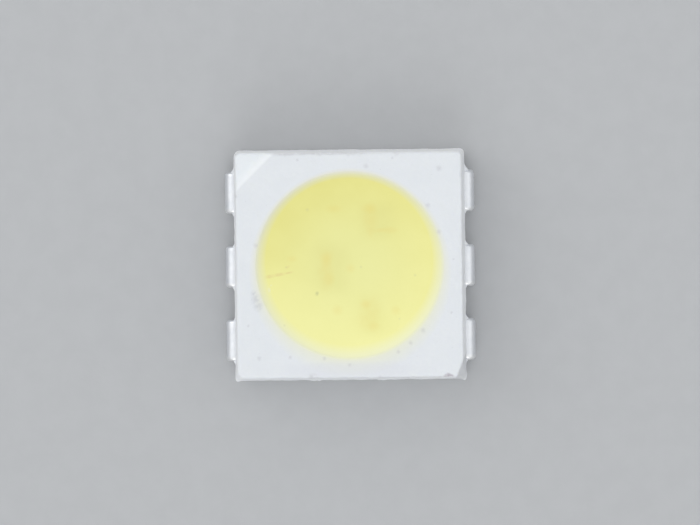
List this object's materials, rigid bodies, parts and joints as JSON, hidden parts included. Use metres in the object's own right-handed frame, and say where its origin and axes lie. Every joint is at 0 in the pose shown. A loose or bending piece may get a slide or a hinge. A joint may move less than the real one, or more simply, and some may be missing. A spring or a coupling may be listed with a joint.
{
  "type": "surface-mount led",
  "caption": "Square white surface-mount light-emitting diode with a round cup of yellow phosphor gel and flat bent leads along two sides for soldering to a circuit board.",
  "frame": {"origin": "centre of the package on the plane that the lead feet rest on, which is the top of the board's pads", "axes": "+Z away from the board, the way the light leaves; +X across the package from the side of leads 1 to 3 to the side of leads 4 to 6; the polarity mark is at the -X +Y corner, beside lead 1"},
  "size_m": [0.0054, 0.005, 0.0016],
  "materials": {
    "white_plastic": "matte",
    "phosphor_gel": "satin",
    "silver_plate": "satin",
    "led_chip": "gloss",
    "chip_adhesive": "gloss",
    "gold_wire": "polished"
  },
  "bodies": {
    "root": {"housing": "white_plastic", "phosphor_gel": "phosphor_gel", "lead_1": "silver_plate", "lead_2": "silver_plate", "lead_3": "silver_plate", "lead_4": "silver_plate", "lead_5": "silver_plate", "lead_6": "silver_plate", "led_chip_back": "led_chip", "led_chip_middle": "led_chip", "led_chip_front": "led_chip", "chip_adhesive_back": "chip_adhesive", "chip_adhesive_middle": "chip_adhesive", "chip_adhesive_front": "chip_adhesive", "bond_wire_back_left": "gold_wire", "bond_wire_back_right": "gold_wire", "bond_wire_middle_left": "gold_wire", "bond_wire_middle_right": "gold_wire", "bond_wire_front_left": "gold_wire", "bond_wire_front_right": "gold_wire"}
  },
  "joints": []
}
